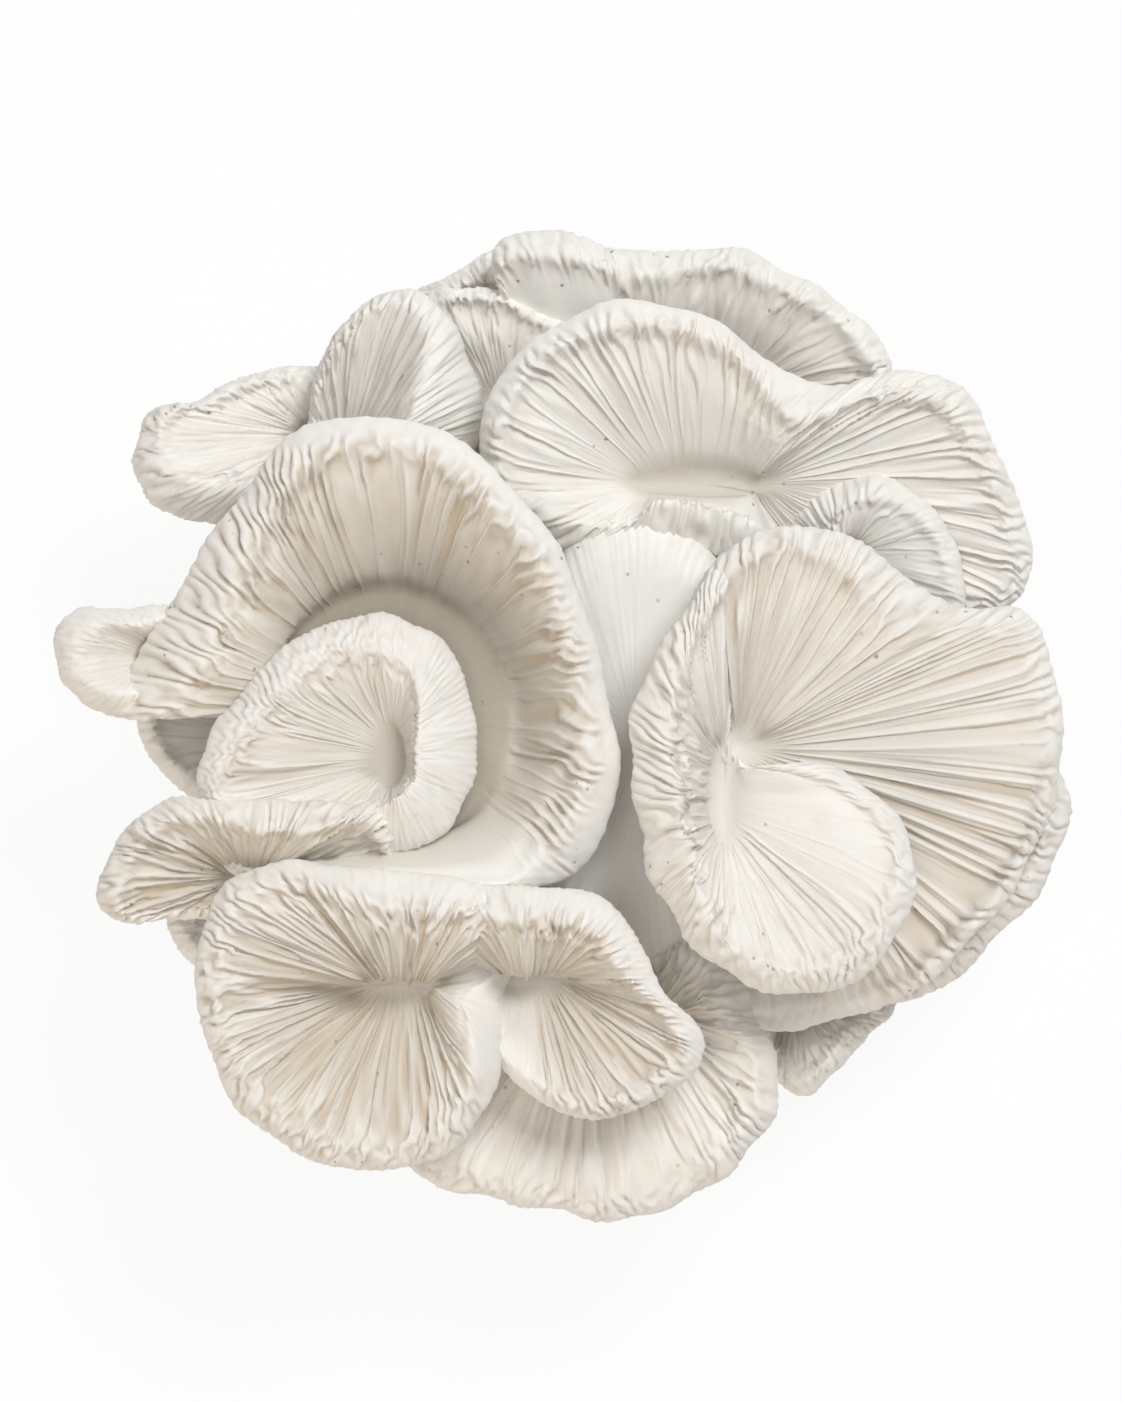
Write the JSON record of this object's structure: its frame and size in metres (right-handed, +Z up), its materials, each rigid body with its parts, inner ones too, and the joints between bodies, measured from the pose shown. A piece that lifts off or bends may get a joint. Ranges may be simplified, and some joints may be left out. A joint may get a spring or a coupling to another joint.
{
  "type": "mushroom cluster",
  "caption": "White coral-like mushroom cluster: a rosette of ruffled, gilled trumpet caps growing from one cut base clump.",
  "frame": {"origin": "middle of the flat cut face under the base clump, on the surface that the cluster rests on", "axes": "+Z up along the growth axis, out of the open side of the caps; +X to the right and +Y away from a viewer who stands at the low bottom fan cap"},
  "size_m": [0.1801, 0.1769, 0.0953],
  "materials": {
    "cap_flesh": "matte ivory-white mushroom flesh, gills warmer in the valleys",
    "cut_flesh": "matte, slightly darker cream flesh of the base"
  },
  "bodies": {
    "root": {"base_clump": "cut_flesh", "core_stem": "cap_flesh", "left_front_cap": "cap_flesh", "left_scroll_cap": "cap_flesh", "left_lower_cap": "cap_flesh", "left_ear_cap": "cap_flesh", "lower_left_cap": "cap_flesh", "lower_middle_cap": "cap_flesh", "right_scroll_cap": "cap_flesh", "right_front_cap": "cap_flesh", "upper_right_cap": "cap_flesh", "right_ear_cap": "cap_flesh", "top_back_cap": "cap_flesh", "top_left_back_cap": "cap_flesh", "back_notch_cap": "cap_flesh", "upper_left_fold_cap": "cap_flesh", "left_upper_cap": "cap_flesh", "bottom_fan_cap": "cap_flesh", "right_back_cap": "cap_flesh", "lower_right_small_cap": "cap_flesh", "left_low_back_cap": "cap_flesh", "left_mid_back_cap": "cap_flesh"}
  },
  "joints": []
}
